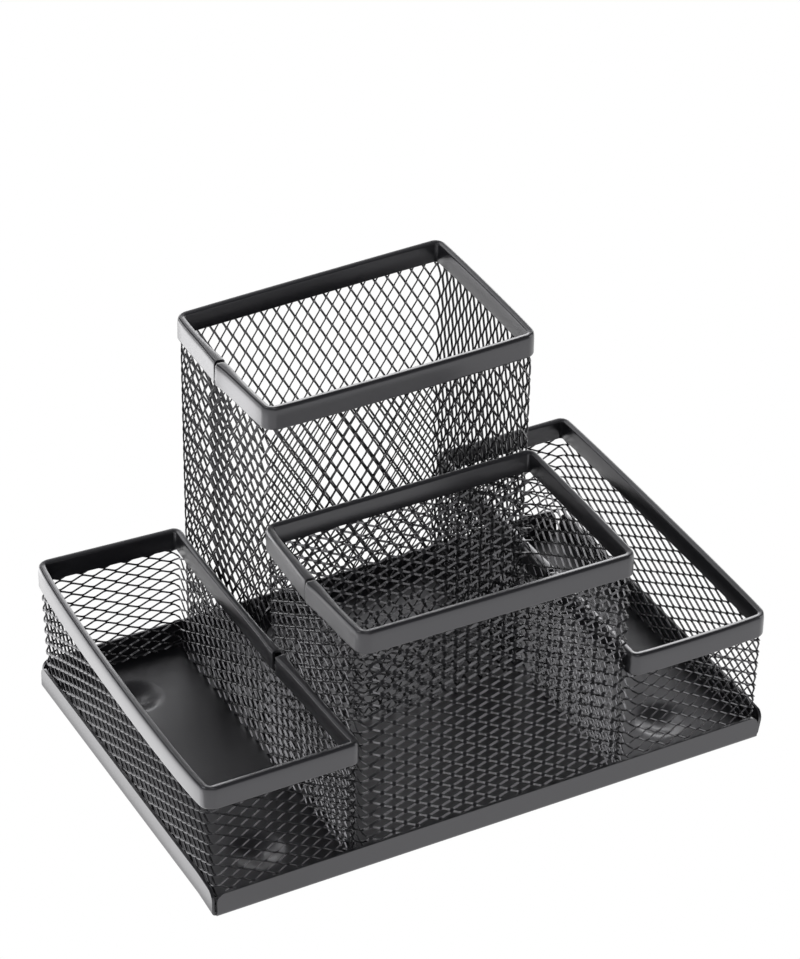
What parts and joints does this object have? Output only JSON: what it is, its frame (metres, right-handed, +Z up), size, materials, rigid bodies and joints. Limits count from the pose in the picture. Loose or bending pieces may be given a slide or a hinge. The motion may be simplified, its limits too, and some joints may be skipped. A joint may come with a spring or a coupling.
{
  "type": "desk organizer",
  "caption": "Free-standing black wire-mesh desk organizer: a shallow steel pan on pressed feet carries side trays, a middle cup and a tall cup for pens and small items.",
  "frame": {"origin": "on the desk surface, under the middle of the pan's footprint", "axes": "+X to the right along the pan's long side, +Y to the back where the tall cup stands, +Z up"},
  "size_m": [0.155, 0.103, 0.1048],
  "materials": {
    "pan_paint": "satin black powder coat on folded sheet steel",
    "mesh_paint": "satin black powder coat on expanded metal",
    "rim_paint": "satin black powder coat on folded steel strip"
  },
  "bodies": {
    "root": {"base_pan": "pan_paint", "left_tray_mesh": "mesh_paint", "left_tray_rim": "rim_paint", "right_tray_mesh": "mesh_paint", "right_tray_rim": "rim_paint", "middle_cup_mesh": "mesh_paint", "middle_cup_rim": "rim_paint", "tall_cup_mesh": "mesh_paint", "tall_cup_rim": "rim_paint"}
  },
  "joints": []
}
